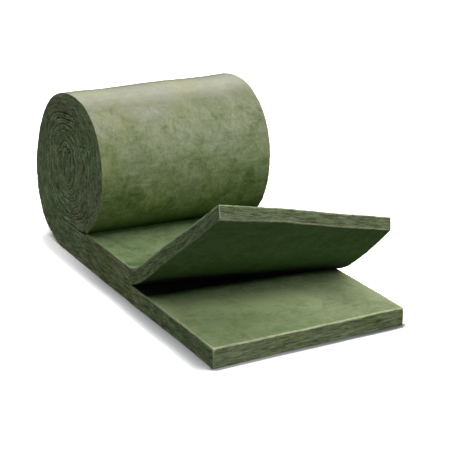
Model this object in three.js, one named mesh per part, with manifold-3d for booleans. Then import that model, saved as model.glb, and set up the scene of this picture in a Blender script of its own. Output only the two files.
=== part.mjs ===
// Insulation roll: one mat of green mineral wool, wound into a roll that lies on its side.
// The mat's free end lies flat on the floor. It is split at mid thickness into two layers:
// the lower layer stays flat and the upper layer is folded up as a flap.
// Millimetres. +X runs towards the free end, +Y across the mat, +Z up, z = 0 is the floor.

import * as THREE from 'three';
import { mergeVertices } from 'three/addons/utils/BufferGeometryUtils.js';
import Module from 'manifold-3d';

// ---------------------------------------------------------------- the mat
const mat_width = 600;           // across the mat, along Y
const lower_layer = 55;          // thickness of the layer that stays on the floor
const upper_layer = 55;          // thickness of the layer that is folded up
const tail_length = 966;         // free end of the lower layer to the middle of the roll

// ---------------------------------------------------------------- the roll
// The soft roll has slumped, and its near end (y = 0) more than its far end. Each end's
// outline is a circle of the mean radius, changed by the other values.
const near_roll = {
  mean_radius: 266,
  turn_growth: 21,               // radius gained along one turn, as on a spiral
  flattening: 12,                // wider than high
  lean: 31,                      // drawn out forwards at the top and backwards at the foot
  bulge: 7,                      // fuller at the front than at the back
};
const far_roll = {
  mean_radius: 265,
  turn_growth: 51,
  flattening: 7,
  lean: 6,
  bulge: -3,
};

// ---------------------------------------------------------------- the turns on the roll's ends
const turn_pitch = 27;           // thickness of one wound turn, pressed thin by the winding
const outer_turn = 76;           // thickness of the outermost turn, which has swelled
const turn_groove_width = 4;     // gap between two turns at the end face
const turn_groove_depth = 6;     // how deep the gap runs in from the end face
const eye_back = 5;              // the middle of the winding lies behind the roll's middle
const eye_rise = 10;             // and above it
const eye_pinch = 0.4;           // how much narrower than high the innermost turn is

// ---------------------------------------------------------------- the flap
// The fold runs askew: the split goes deeper at the near side than at the far side.
const near_flap = {
  split_depth: 472,              // free end of the lower layer to the root of the split
  lift: 32.4,                    // degrees that the flap rises from the floor
  length: 603,                   // root of the split to the end of the flap, underneath
  end_height: 37,                // the flap thins towards its end, which is cut nearly upright
  top_bend: 36,                  // size of the soft bend on the upper side
  under_bend: 8,                 // size of the bend on the underside, at the root of the split
};
const far_flap = {
  split_depth: 292,
  lift: 41.7,
  length: 294,
  end_height: 37,
  top_bend: 46,
  under_bend: 70,
};
const flap_curl = 27;            // how far the near end stands above a straight flap
const flap_end_lean = 5;         // the end's lower edge reaches forward of its upper edge

// ---------------------------------------------------------------- how finely it is cut into facets
const outline_steps = 96;
const steps_per_turn = 30;
const bend_steps = 6;
const steps_across = 6;

const mat_thickness = lower_layer + upper_layer;
const degrees = Math.PI / 180;

// ---------------------------------------------------------------- the roll's outline

// Distance from the middle of the roll to its outline. The angle is in radians from +X,
// counterclockwise seen from the near side.
function outline_radius(end, angle) {
  const turns = (angle / degrees - 90) / 360;
  return end.mean_radius + end.turn_growth * turns
    + end.flattening * Math.cos(2 * angle)
    + end.lean * Math.sin(2 * angle)
    + end.bulge * Math.cos(3 * angle);
}

// The roll rests on the lowest point of its outline, so that point sets its height.
function find_foot(end) {
  let foot = { angle: 0, drop: 0 };
  for (let angle = 200 * degrees; angle < 290 * degrees; angle += 0.1 * degrees) {
    const drop = -outline_radius(end, angle) * Math.sin(angle);
    if (drop > foot.drop) {
      foot = { angle, drop };
    }
  }
  return foot;
}

function outline_point(end, middle, angle) {
  const radius = outline_radius(end, angle);
  return new THREE.Vector2(
    middle.x + radius * Math.cos(angle),
    middle.y + radius * Math.sin(angle),
  );
}

// The notch is where the outline comes down onto the top of the mat in front of the roll.
function find_notch_angle(end, middle) {
  let high = 0;
  let low = -90 * degrees;
  for (let step = 0; step < 40; step += 1) {
    const half = (high + low) / 2;
    if (outline_point(end, middle, half).y > mat_thickness) {
      high = half;
    } else {
      low = half;
    }
  }
  return high;
}

// One end of the roll: its outline as a ring of points from the notch over the top to the
// foot. From the foot back to the notch the ring runs hidden inside the flat tail.
function make_roll_end(end) {
  const foot = find_foot(end);
  const middle = new THREE.Vector2(-tail_length, foot.drop);
  const notch_angle = find_notch_angle(end, middle);
  const notch = outline_point(end, middle, notch_angle);
  const open_steps = Math.round(outline_steps * 0.87);
  const hidden_steps = outline_steps - open_steps;
  const ring = [];
  for (let step = 0; step < open_steps; step += 1) {
    const angle = THREE.MathUtils.lerp(notch_angle, foot.angle, step / open_steps);
    ring.push(outline_point(end, middle, angle));
  }
  const foot_point = outline_point(end, middle, foot.angle);
  for (let step = 0; step < hidden_steps; step += 1) {
    ring.push(foot_point.clone().lerp(notch, step / hidden_steps));
  }
  return { middle, notch_angle, notch, foot_x: foot_point.x, ring };
}

const near_end = make_roll_end(near_roll);
const far_end = make_roll_end(far_roll);

// ---------------------------------------------------------------- helpers for solids

const wasm = await Module();
wasm.setup();

function to_manifold(geometry) {
  const bare = geometry.clone();
  bare.deleteAttribute('normal');
  bare.deleteAttribute('uv');
  const merged = mergeVertices(bare, 1e-3);
  return new wasm.Manifold(new wasm.Mesh({
    numProp: 3,
    vertProperties: merged.attributes.position.array,
    triVerts: merged.index.array,
  }));
}

function to_geometry(manifold) {
  const mesh = manifold.getMesh();
  const geometry = new THREE.BufferGeometry();
  geometry.setAttribute('position', new THREE.BufferAttribute(mesh.vertProperties, 3));
  geometry.setIndex(new THREE.BufferAttribute(mesh.triVerts, 1));
  return geometry;
}

// A side view in the XZ plane becomes a solid that runs from y_start over the given width.
function extrude_side_view(points, y_start, width) {
  const geometry = new THREE.ExtrudeGeometry(new THREE.Shape(points), {
    depth: width,
    bevelEnabled: false,
    steps: 1,
  });
  geometry.rotateX(Math.PI / 2);
  geometry.translate(0, y_start + width, 0);
  return geometry;
}

// ---------------------------------------------------------------- the roll

// A cylinder along Y whose rings are drawn over to the outlines of the roll's two ends.
function make_roll() {
  const cylinder = new THREE.CylinderGeometry(1, 1, 1, outline_steps, steps_across);
  const corners = cylinder.attributes.position;
  for (let index = 0; index < corners.count; index += 1) {
    const across = 0.5 - corners.getY(index);
    const radius = Math.hypot(corners.getX(index), corners.getZ(index));
    const angle = Math.atan2(corners.getX(index), corners.getZ(index));
    const step = Math.round(angle / (2 * Math.PI) * outline_steps + outline_steps) % outline_steps;
    const near = radius > 0.5 ? near_end.ring[step] : near_end.middle;
    const far = radius > 0.5 ? far_end.ring[step] : far_end.middle;
    const point = near.clone().lerp(far, across);
    corners.setXYZ(index, point.x, across * mat_width, point.y);
  }
  return cylinder;
}

// ---------------------------------------------------------------- the flat tail

// The whole mat from the roll to the root of the split at the near side, and the lower
// layer from there to the free end. Its hidden back edge runs from foot to foot of the roll.
function make_tail() {
  const tail = extrude_side_view([
    new THREE.Vector2(-tail_length, 0),
    new THREE.Vector2(0, 0),
    new THREE.Vector2(0, lower_layer),
    new THREE.Vector2(-near_flap.split_depth, lower_layer),
    new THREE.Vector2(-near_flap.split_depth, mat_thickness),
    new THREE.Vector2(-tail_length, mat_thickness),
  ], 0, mat_width);
  const corners = tail.attributes.position;
  for (let index = 0; index < corners.count; index += 1) {
    if (corners.getX(index) < -tail_length + 1) {
      const across = corners.getY(index) / mat_width;
      corners.setX(index, THREE.MathUtils.lerp(near_end.foot_x, far_end.foot_x, across));
    }
  }
  return tail;
}

// ---------------------------------------------------------------- the turns on the ends

// A turn's line is not quite round: it is fuller to the front.
function turn_shape(angle) {
  return 1 + 0.12 * Math.cos(angle) + 0.05 * Math.cos(2 * angle);
}

// The line between two turns, seen from the side, from the notch inwards to the eye of the
// winding. travel is the angle wound inwards so far, in radians.
function turn_line_point(end, first_radius, travel) {
  const turns = first_radius / turn_pitch;
  const angle = end.notch_angle - travel;
  const left = Math.max(0, 1 - travel / (2 * Math.PI * turns));
  const eye = new THREE.Vector2(end.middle.x - eye_back, end.middle.y + eye_rise);
  const lead_in = end.notch.distanceTo(eye) - first_radius * turn_shape(end.notch_angle);
  const radius = first_radius * turn_shape(angle) * left + lead_in * Math.exp(-travel / 0.4);
  const pinch = eye_pinch * (1 - left);
  return new THREE.Vector2(
    eye.x + radius * (1 - pinch) * Math.cos(angle),
    eye.y + radius * (1 + pinch / 2) * Math.sin(angle),
  );
}

// A narrow band along that line, to be cut into one end of the roll.
function make_turn_cutter(end, mean_radius, y_start) {
  const first_radius = mean_radius - outer_turn;
  const steps = Math.round(steps_per_turn * (first_radius / turn_pitch - 0.6));
  const line = [];
  for (let step = -1; step <= steps; step += 1) {
    line.push(turn_line_point(end, first_radius, step * 2 * Math.PI / steps_per_turn));
  }
  const outer = [];
  const inner = [];
  for (let index = 0; index < line.length; index += 1) {
    const before = line[Math.max(index - 1, 0)];
    const after = line[Math.min(index + 1, line.length - 1)];
    const along = after.clone().sub(before).normalize();
    const across = new THREE.Vector2(-along.y, along.x).multiplyScalar(turn_groove_width / 2);
    outer.push(line[index].clone().add(across));
    inner.push(line[index].clone().sub(across));
  }
  const band = [...outer, ...inner.reverse()];
  return extrude_side_view(band, y_start, turn_groove_depth * 2);
}

// ---------------------------------------------------------------- the flap

// One long edge of the flap's side view: flat along the mat, a soft bend, then up to the end.
function flap_edge(root_x, height, corner_x, bend, rise, end) {
  const path = new THREE.CurvePath();
  const root = new THREE.Vector2(root_x, height);
  const corner = new THREE.Vector2(corner_x, height);
  const bend_start = new THREE.Vector2(corner_x - bend, height);
  const bend_end = corner.clone().addScaledVector(rise, bend);
  const reach = end.clone().sub(bend_end).length();
  const pull = bend_end.clone().addScaledVector(rise, reach / 2);
  path.add(new THREE.LineCurve(root, bend_start));
  path.add(new THREE.QuadraticBezierCurve(bend_start, corner, bend_end));
  path.add(new THREE.QuadraticBezierCurve(bend_end, pull, end));
  return path.getPoints(bend_steps);
}

// The two long edges of the flap at one side of the mat.
function flap_side(side, root_x) {
  const lift = side.lift * degrees;
  const rise = new THREE.Vector2(Math.cos(lift), Math.sin(lift));
  const normal = new THREE.Vector2(-rise.y, rise.x);
  const split_root = new THREE.Vector2(-side.split_depth, lower_layer);
  const curl = flap_curl * (side.length / near_flap.length) ** 2;
  const low_end = split_root.clone()
    .addScaledVector(rise, side.length)
    .addScaledVector(normal, curl);
  const top_end = new THREE.Vector2(low_end.x - flap_end_lean, low_end.y + side.end_height);
  const top_corner_x = -side.split_depth - upper_layer * Math.tan(lift / 2);
  return {
    low: flap_edge(root_x, lower_layer, -side.split_depth, side.under_bend, rise, low_end),
    top: flap_edge(root_x, mat_thickness, top_corner_x, side.top_bend, rise, top_end),
  };
}

// The flap is a slab whose side views at the near and the far side are joined by straight
// lines. Its root is buried in the mat.
function make_flap() {
  const root_x = -near_flap.split_depth - upper_layer - near_flap.top_bend - far_flap.top_bend;
  const near = flap_side(near_flap, root_x);
  const far = flap_side(far_flap, root_x);
  const steps_along = near.low.length - 1;
  const slab = new THREE.BoxGeometry(1, 1, 1, steps_along, steps_across, 1);
  const corners = slab.attributes.position;
  for (let index = 0; index < corners.count; index += 1) {
    const along = Math.round((corners.getX(index) + 0.5) * steps_along);
    const across = corners.getY(index) + 0.5;
    const edge = corners.getZ(index) > 0 ? 'top' : 'low';
    const point = near[edge][along].clone().lerp(far[edge][along], across);
    corners.setXYZ(index, point.x, across * mat_width, point.y);
  }
  return slab;
}

// ---------------------------------------------------------------- the whole mat

const mat = to_manifold(make_roll())
  .add(to_manifold(make_tail()))
  .add(to_manifold(make_flap()))
  .subtract(to_manifold(make_turn_cutter(near_end, near_roll.mean_radius, -turn_groove_depth)))
  .subtract(to_manifold(make_turn_cutter(far_end, far_roll.mean_radius, mat_width - turn_groove_depth)));

const mat_geometry = to_geometry(mat);
mat_geometry.computeVertexNormals();
mat_geometry.computeBoundingBox();

const wool_mat = new THREE.Mesh(mat_geometry, new THREE.MeshStandardMaterial({
  color: new THREE.Color(0.30, 0.34, 0.20),
  roughness: 0.95,
  metalness: 0,
}));
wool_mat.name = 'wool_mat';

// The origin is on the floor, under the middle of the whole object.
const box = mat_geometry.boundingBox;
wool_mat.position.set(-(box.min.x + box.max.x) / 2, -mat_width / 2, 0);

const insulation_roll = new THREE.Group();
insulation_roll.add(wool_mat);

export default insulation_roll;
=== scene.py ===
"""Insulation roll: one mat of green mineral wool, wound into a roll that has slumped a little.

The mat's free end lies flat and is split into two layers, the upper one folded up askew as a
flap. The mat is one closed surface: its long faces are one grid carried across the width,
and each cut side is a set of grids on that grid's border. All sizes are in metres.
"""

import math

import bpy
import numpy as np
from mathutils import Matrix


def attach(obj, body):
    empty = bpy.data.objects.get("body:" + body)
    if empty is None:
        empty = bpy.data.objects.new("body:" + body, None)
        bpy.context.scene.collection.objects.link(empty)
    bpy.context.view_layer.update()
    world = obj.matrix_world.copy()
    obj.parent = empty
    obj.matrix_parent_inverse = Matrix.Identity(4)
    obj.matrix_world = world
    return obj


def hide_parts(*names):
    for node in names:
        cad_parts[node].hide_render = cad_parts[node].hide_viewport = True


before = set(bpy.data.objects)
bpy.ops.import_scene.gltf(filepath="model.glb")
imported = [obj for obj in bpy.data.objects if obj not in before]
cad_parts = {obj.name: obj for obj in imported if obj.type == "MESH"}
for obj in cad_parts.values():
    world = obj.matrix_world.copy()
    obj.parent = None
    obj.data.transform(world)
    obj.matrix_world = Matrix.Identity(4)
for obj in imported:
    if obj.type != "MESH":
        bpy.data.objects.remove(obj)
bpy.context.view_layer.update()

# ---------------- sizes of the mat
# x = 0 is the free end of the lower layer here, y = 0 the near side, z = 0 the floor.
MAT_WIDTH = 0.602
LOWER_LAYER = 0.055
MAT_THICKNESS = 0.110
TAIL_LENGTH = 0.966  # free end to the middle of the roll
FREE_END_X = 0.6158  # the free end's place in the row frame

# Each side's flap is given by the points of its two edges: where the edge starts, the
# corner of its bend, where it leaves the bend, and its end. The swells add to the roll's
# radius: angle and width in degrees, and how much.
NEAR_SIDE = {
    "mean_radius": 0.266,
    "turn_growth": 0.021,
    "flattening": 0.012,
    "lean": 0.031,
    "bulge": 0.007,
    "swells": ((42, 27, 0.0075), (120, 24, 0.003), (152, 34, 0.0055), (240, 12, -0.008)),
    "free_end": 0.0550,
    "under": ((-0.490, 0.0580), (-0.418, 0.0900), (-0.375, 0.1200), (0.0218, 0.4013)),
    "top": ((-0.520, 0.1080), (-0.470, 0.1065), (-0.425, 0.1370), (0.0170, 0.4383)),
}
FAR_SIDE = {
    "mean_radius": 0.265,
    "turn_growth": 0.051,
    "flattening": 0.007,
    "lean": 0.006,
    "bulge": -0.003,
    "swells": ((112, 24, 0.006),),
    "free_end": 0.0528,
    "under": ((-0.322, 0.0595), (-0.2800, 0.0722), (-0.2420, 0.1034), (-0.0775, 0.2560)),
    "top": ((-0.359, 0.1100), (-0.313, 0.1100), (-0.2787, 0.1406), (-0.0818, 0.2906)),
}
SWELL = 0.0012  # how far the wool stands proud of the plain shape
SWELL_FREE = 0.020  # how far from the flap's crease that begins

TURN_PITCH = 0.0235
OUTER_TURN = 0.072
TURN_WIDENING = 0.05  # a turn's width over its height, less 1, halved
TURN_UNEVENNESS = 0.0011
TURN_LEAD_IN = 0.4  # the angle over which the line comes in from the notch
NOTCH_FIT = 0.15  # the angle over which it leaves the notch's very place
EYE_FORWARD = 0.002  # the eye lies this far in front of the roll's middle
EYE_RISE = 0.017
EYE_REACH = 0.034  # half the length of the fold at the eye
# under the eye the turns have slumped back: how far, how far below it, and over what reach
EYE_SLUMP, SLUMP_DROP, SLUMP_REACH = 0.022, 0.125, 0.09

# relief of the cut sides: depths run in from the plane of the cut
GAP_DEPTH = 0.0026
GAP_REACH = 0.0022  # to each side of the line between two turns
GAP_SLOPE, GAP_SLOPE_REACH = 0.0008, 0.006  # the wool leans in towards the gap
LAYER_LINE_DEPTH, LAYER_LINE_REACH = 0.0009, 0.002  # halfway through a turn
FIBRE_DEPTH = 0.0007
CLOUD_DEPTH = 0.0009
LINE_DRIFT = 0.0030  # how far the lines between turns stray
MOUTH_REACH = 0.06  # how far the gap at the notch stands open
MOUTH_OPENING = 2.2  # how many times deeper it is there
RIM_REACH = 0.06  # the distance to the border counts up to here
RIM_FADE, GAP_FADE, DRIFT_FADE = 0.006, 0.004, 0.02  # where relief, fibres and drift die out
NO_GAP = 0.2  # the distance to a gap where none is near
# a gap's colour is wider than its relief, at the notch and where it gapes, and the line
# halfway is drawn as if it were this far from a gap, or less where it is strong
MOUTH_SEEN, GAPING_SEEN = 0.0035, 0.0014
LINE_SEEN, STRONG_SEEN = 0.0024, 0.0012

# the whole mat's bulges: how much, first seed, shortest and longest wave
BULGES = ((0.0010, 100, 0.25, 0.6), (0.0003, 110, 0.07, 0.18), (0.00015, 120, 0.025, 0.06))
RAGGED, RAGGED_REACH = 0.00025, 0.005  # along the borders
CROWN = 0.0035  # of the flap's end
SAG = 0.0030  # of the roll's top between its ends
WORN_CORNER, WORN_REACH = 0.0018, 0.016  # the free end's far upper corner

# places on the cut side that are greener, or browner: x, z, size, how much
TINTED_PATCHES = (
    (-0.963, 0.292, 0.055, 1.1),
    (-0.81, 0.40, 0.07, 0.9),
    (-1.06, 0.16, 0.08, 0.8),
    (-0.84, 0.11, 0.05, 0.7),
    (-0.30, 0.18, 0.14, 0.5),
    (-0.06, 0.37, 0.10, 0.2),
    (-0.26, 0.02, 0.12, 0.3),
    (-0.58, 0.04, 0.15, -1.5),
    (-0.80, 0.06, 0.11, -0.9),
    (-1.00, 0.51, 0.06, -0.5),
)
# places where the turns gape a little, or less than elsewhere: x, z, size, how much
GAPING_PLACES = (
    (-0.963, 0.292, 0.050, 1.5),
    (-0.90, 0.44, 0.07, 0.9),
    (-1.00, 0.50, 0.05, 0.5),
    (-0.94, 0.17, 0.09, -0.55),
    (-1.08, 0.19, 0.05, 0.5),
)

# ---------------- how finely it is drawn
THROAT_STEPS = 40  # columns from the notch to the roll's foot
ROUND_STEPS = 200  # columns from the foot over the top to the notch
TURN_STEPS = THROAT_STEPS + ROUND_STEPS
TOP_STEPS = 36
LOWER_STEPS = 60
FLAP_STEPS = 70
LAYER_ROWS = 14  # rows through one layer of the mat
OUTER_ROWS = 2 * LAYER_ROWS
INNER_ROWS = 8
WIDTH_STEPS = 44  # columns across the width, between the rounded borders
BORDER_PARTS = 6  # parts of a column's step, when distances to the border are measured
TURN_PARTS = 3  # the same on the first turn's line
LINE_SPACING = 0.001
CORNER_SOFTNESS = 0.0020
ARRIS_RADIUS = 0.0018
ARRIS_SOFTNESS = 0.005  # how far the direction of the rounding is evened out
EYE_TURNS = 0.45  # how much of a turn is left open at the eye
EYE_WELD = 0.003  # the points this close to the turn line's end are one point
# points whose keys fall in one cell are one point; the shift keeps y = 0 off the cells' faces
KEY_SIZE, KEY_SHIFT = 2e-5, 0.137

SEGMENTS = (
    ("roll", ROUND_STEPS),
    ("floor_back", TOP_STEPS + THROAT_STEPS),
    ("floor_front", LOWER_STEPS),
    ("free_end", LAYER_ROWS),
    ("lower_top", LOWER_STEPS),
    ("flap_under", FLAP_STEPS),
    ("flap_end", LAYER_ROWS),
    ("flap_top", FLAP_STEPS),
    ("mat_top", TOP_STEPS),
)
SEGMENT_NAMES = [name for name, _ in SEGMENTS]
SEGMENT_STEPS = dict(SEGMENTS)
SEGMENT_START = dict(
    zip(SEGMENT_NAMES + ["end"], np.cumsum([0] + list(SEGMENT_STEPS.values())).tolist())
)
LOOP_STEPS = SEGMENT_START["end"]
# how much closer together the columns are at a segment's ends, 0 to 1
EASE = 0.85
SEGMENT_EASE = {"floor_back": 0.4, "mat_top": 0.6}


# ---------------- numbers and lines
def smoothstep(value, low, high):
    """0 below low, 1 above high, and 3t^2 - 2t^3 between them."""
    t = np.clip((value - low) / (high - low), 0, 1)
    return t * t * (3 - 2 * t)


def bell(distance, reach):
    """exp(-(distance / reach)^2)."""
    return np.exp(-((distance / reach) ** 2))


def wave_field(points, seed, shortest, longest, count=28):
    """A smooth random field with unit spread: a sum of plane waves of random direction,
    phase and wavelength, the wavelengths between shortest and longest."""
    draw = np.random.default_rng(seed)
    direction = draw.normal(size=(points.shape[-1], count))
    direction /= np.linalg.norm(direction, axis=0)
    length = np.exp(draw.uniform(np.log(shortest), np.log(longest), count))
    phase = draw.uniform(0, 2 * np.pi, count)
    turned = points @ (direction * 2 * np.pi / length) + phase
    return np.sin(turned).sum(axis=-1) * math.sqrt(2 / count)


def eased(steps, ease):
    """steps + 1 fractions from 0 to 1, closer together at both ends as ease goes to 1."""
    s = np.linspace(0, 1, steps + 1)
    return (1 - ease) * s + ease * (1 - np.cos(np.pi * s)) / 2


LAYER_SHARES = eased(LAYER_ROWS, EASE)
MAT_SHARES = eased(OUTER_ROWS, 0.6)
TURN_SHARES = eased(INNER_ROWS, 0.35)


def columns_of(name):
    """The columns of one segment and the first one after it."""
    first = SEGMENT_START[name]
    return slice(first, first + SEGMENT_STEPS[name] + 1)


def refined(line, parts):
    """The line's values with each step divided into equal parts, without the last value.
    They are ordered by part."""
    step = np.diff(line, axis=0)
    return np.concatenate([line[:-1] + step * k / parts for k in range(parts)])


def bezier(start, corner, end, count=200):
    """The quadratic curve that leaves start towards corner and reaches end from corner."""
    t = np.linspace(0, 1, count)[:, None]
    return (1 - t) ** 2 * start + 2 * t * (1 - t) * corner + t**2 * end


def run_along(points):
    """Distance along a line of points, from its first one."""
    steps = np.linalg.norm(np.diff(points, axis=0), axis=1)
    return np.concatenate([[0], np.cumsum(steps)])


def evenly(points):
    """The same line with its points one spacing apart, without its last point."""
    run = run_along(points)
    count = int(round(run[-1] / LINE_SPACING))
    at = np.linspace(0, run[-1], count, endpoint=False)
    return np.stack([np.interp(at, run, points[:, k]) for k in (0, 1)], axis=1)


def evened(closed, softness):
    """Each value of a closed evenly spaced line, replaced by its bell-weighted mean."""
    reach = int(4 * softness / LINE_SPACING)
    offset = np.arange(-reach, reach + 1) * LINE_SPACING
    weight = np.exp(-0.5 * (offset / softness) ** 2)
    weight /= weight.sum()
    wrapped = np.concatenate([closed[-reach:], closed, closed[:reach]])
    return np.stack([np.convolve(wrapped[:, k], weight, "valid") for k in (0, 1)], axis=1)


# ---------------- the mat's side view
def outline_radius(side, angle):
    """Mean radius + growth per turn + cos 2a, sin 2a and cos 3a terms for the slump, and
    a bell for each swell."""
    swells = sum(
        much * bell(np.degrees(angle) - middle, wide)
        for middle, wide, much in side["swells"]
    )
    return swells + (
        side["mean_radius"]
        + side["turn_growth"] * (np.degrees(angle) - 90) / 360
        + side["flattening"] * np.cos(2 * angle)
        + side["lean"] * np.sin(2 * angle)
        + side["bulge"] * np.cos(3 * angle)
    )


def roll_place(side):
    """The roll's middle, and the angles of its notch and foot: it rests on the lowest
    point of its outline, and the notch is where the outline meets the mat's top."""
    angle = np.radians(np.arange(200, 290, 0.1))
    drop = -outline_radius(side, angle) * np.sin(angle)
    middle = np.array([-TAIL_LENGTH, drop.max()])
    fall = np.radians(np.arange(0, -90, -0.01))
    height = middle[1] + outline_radius(side, fall) * np.sin(fall)
    return middle, fall[np.argmax(height < MAT_THICKNESS)], angle[drop.argmax()]


def outline_points(side, middle, angle):
    """Points on the roll's outline at these angles."""
    radius = outline_radius(side, angle)
    return middle + np.stack([radius * np.cos(angle), radius * np.sin(angle)], axis=-1)


def flap_lines(side):
    """The flap's underside from the split outwards and its top from the end inwards.
    Each is a quadratic bend at the root and then a quadratic curve that leaves the bend
    in its own direction, up to the end."""

    def edge(points):
        start, corner, leave, end = (np.array(point) for point in points)
        onward = (leave - corner) / np.linalg.norm(leave - corner)
        pull = leave + onward * np.linalg.norm(end - leave) / 2
        return np.concatenate([bezier(start, corner, leave), bezier(leave, pull, end)[1:]])

    return edge(side["under"]), edge(side["top"])[::-1]


def side_loop(side):
    """The whole side view as one closed line, counterclockwise: softened points, their
    inward normals, and where each segment starts on it."""
    middle, notch_angle, foot_angle = roll_place(side)
    turn = np.linspace(notch_angle, foot_angle, 3000)
    roll = outline_points(side, middle, turn)
    under, top = flap_lines(side)
    foot, notch = roll[-1], roll[0]
    split = under[0]
    lines = {
        "roll": roll,
        "floor_back": np.array([foot, [split[0], 0]]),
        "floor_front": np.array([[split[0], 0], [0, 0]]),
        "free_end": np.array([[0, 0], [0, side["free_end"]]]),
        "lower_top": np.array([[0, side["free_end"]], split]),
        "flap_under": under,
        "flap_end": np.array([under[-1], top[0]]),
        "flap_top": top,
        "mat_top": np.array([top[-1], notch]),
    }
    pieces = [evenly(lines[name]) for name in SEGMENT_NAMES]
    start = np.cumsum([0] + [len(p) for p in pieces])
    loop = np.concatenate(pieces)
    soft = evened(loop, CORNER_SOFTNESS)
    along = np.roll(soft, -1, axis=0) - np.roll(soft, 1, axis=0)
    along /= np.linalg.norm(along, axis=1)[:, None]
    inward = evened(np.stack([-along[:, 1], along[:, 0]], axis=1), ARRIS_SOFTNESS)
    run = run_along(soft)
    crease = run[start[SEGMENT_NAMES.index("flap_under")]]
    proud = SWELL * (1 - bell(run - crease, SWELL_FREE))
    soft = soft - proud[:, None] * inward
    soft[:, 1] = np.maximum(soft[:, 1], 0)
    return {
        "points": soft,
        "inward": inward,
        "start": start,
        "middle": middle,
        "notch_angle": notch_angle,
        "foot_angle": foot_angle,
        "turn": turn,
        "roll_run": run_along(roll),
    }


def loop_samples(loop):
    """Where the grid's lines cross the closed line: a place on it for each column.
    The roll is divided by angle, and the straight parts closer together at their ends."""
    places = []
    for index, (name, steps) in enumerate(SEGMENTS):
        first, last = loop["start"][index], loop["start"][index + 1]
        if name == "roll":
            angle = np.linspace(loop["notch_angle"], loop["foot_angle"], steps + 1)
            share = np.interp(angle, loop["turn"], loop["roll_run"]) / loop["roll_run"][-1]
        else:
            share = eased(steps, SEGMENT_EASE.get(name, EASE))
        places.append(first + share[:-1] * (last - first))
    return np.concatenate(places + [[loop["start"][-1]]])


def pick(values, places):
    """Values of a closed line at fractional places on it, by straight interpolation."""
    closed = np.concatenate([values, values[:1]])
    at = np.arange(len(closed))
    return np.stack([np.interp(places, at, closed[:, k]) for k in range(2)], axis=1)


def section(side):
    """The columns' points and inward normals on one side view."""
    loop = side_loop(side)
    places = loop_samples(loop)
    loop["columns"] = pick(loop["points"], places)
    loop["normals"] = pick(loop["inward"], places)
    loop["inset"] = loop["columns"] + ARRIS_RADIUS * loop["normals"]
    return loop


near = section(NEAR_SIDE)
far = section(FAR_SIDE)


# ---------------- wear and tone by column
SHARES = {name: np.linspace(0, 1, steps, endpoint=False) for name, steps in SEGMENTS}


def joined(by_segment):
    """Each column's value from its segment's, or 0, and the first one again at the end."""
    values = [by_segment.get(name, 0) + 0 * share for name, share in SHARES.items()]
    return np.concatenate(values + [values[0][:1]])


# how strong the pale line along the mat's border is, 0 to 1
COLUMN_PALE_LINE = joined(
    {
        "roll": 0.10,
        "free_end": SHARES["free_end"] ** 2,
        "lower_top": 1 - 0.9 * smoothstep(SHARES["lower_top"], 0.4, 0.85),
        "flap_under": 0.05 + 0.6 * smoothstep(SHARES["flap_under"], 0.9, 1),
        "flap_end": 0.7,
        "flap_top": 1.0 - 0.7 * smoothstep(SHARES["flap_top"], 0.60, 0.85),
        "mat_top": 0.30 - 0.2 * smoothstep(SHARES["mat_top"], 0.2, 0.5),
    }
)
# how much paler than the plain wool, or darker if below 0. On the long faces this is mostly
# painted light: a painted highlight along the roll's top and a thin painted shade line behind
# it, painted shade low on the roll, on the flap's underside and towards the V, and painted
# light on the lower layer's top under the flap. On the cut faces it shifts the hue
COLUMN_TONE_AND_PAINTED_LIGHT = joined(
    {
        # painted highlight along the roll's top, a thin painted shade line behind it, and painted
        # shade low on the roll
        "roll": np.interp(
            SHARES["roll"],
            (0.00, 0.12, 0.20, 0.27, 0.33, 0.37, 0.40, 0.43, 0.455, 0.480, 0.60, 1.00),
            (-0.8, -0.38, 0.28, 0.26, 0.36, 1.40, 1.65, 1.30, 0.35, -0.25, -0.1, -0.4),
        ),
        "free_end": -0.3,
        # painted light on the lower layer's top, making up for the flap's shade
        "lower_top": np.interp(SHARES["lower_top"], (0, 0.3, 0.7, 1.0), (0.7, 1.4, 1.8, 1.6)),
        # painted shade on the flap's underside
        "flap_under": -1.1,
        "flap_end": -0.3,
        # painted shade towards the V, on the flap's top and the mat's top
        "flap_top": -smoothstep(SHARES["flap_top"], 0.80, 1.0),
        "mat_top": np.interp(SHARES["mat_top"], (0, 0.2, 0.5, 1.0), (-1.0, -0.5, 0.0, -0.1)),
    }
)
# painted shade in the creases: segment, the one whose start is the crease, depth and reach at
# the near and the far side, power, and limit
PAINTED_CREASE_SHADE = (
    ("roll", "roll", (2.0, 2.0), (0.036, 0.036), 1.0, 1.1),
    ("mat_top", "end", (2.6, 2.6), (0.025, 0.025), 1.0, 1.0),
    ("lower_top", "flap_under", (8.0, 3.5), (0.108, 0.045), 2.0, 8.0),
    ("flap_under", "flap_under", (5.4, 3.2), (0.060, 0.060), 1.0, 5.4),
)
FAR_PALER = 0.6  # how much paler the lower layer's top is across the whole width
# bands of painted light on the lower layer's top, under the flap's shade: how much, run from
# the crease, reach
PAINTED_LIGHT_BANDS = ((1.70, 0.222, 0.070), (0.35, 0.33, 0.08))


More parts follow.
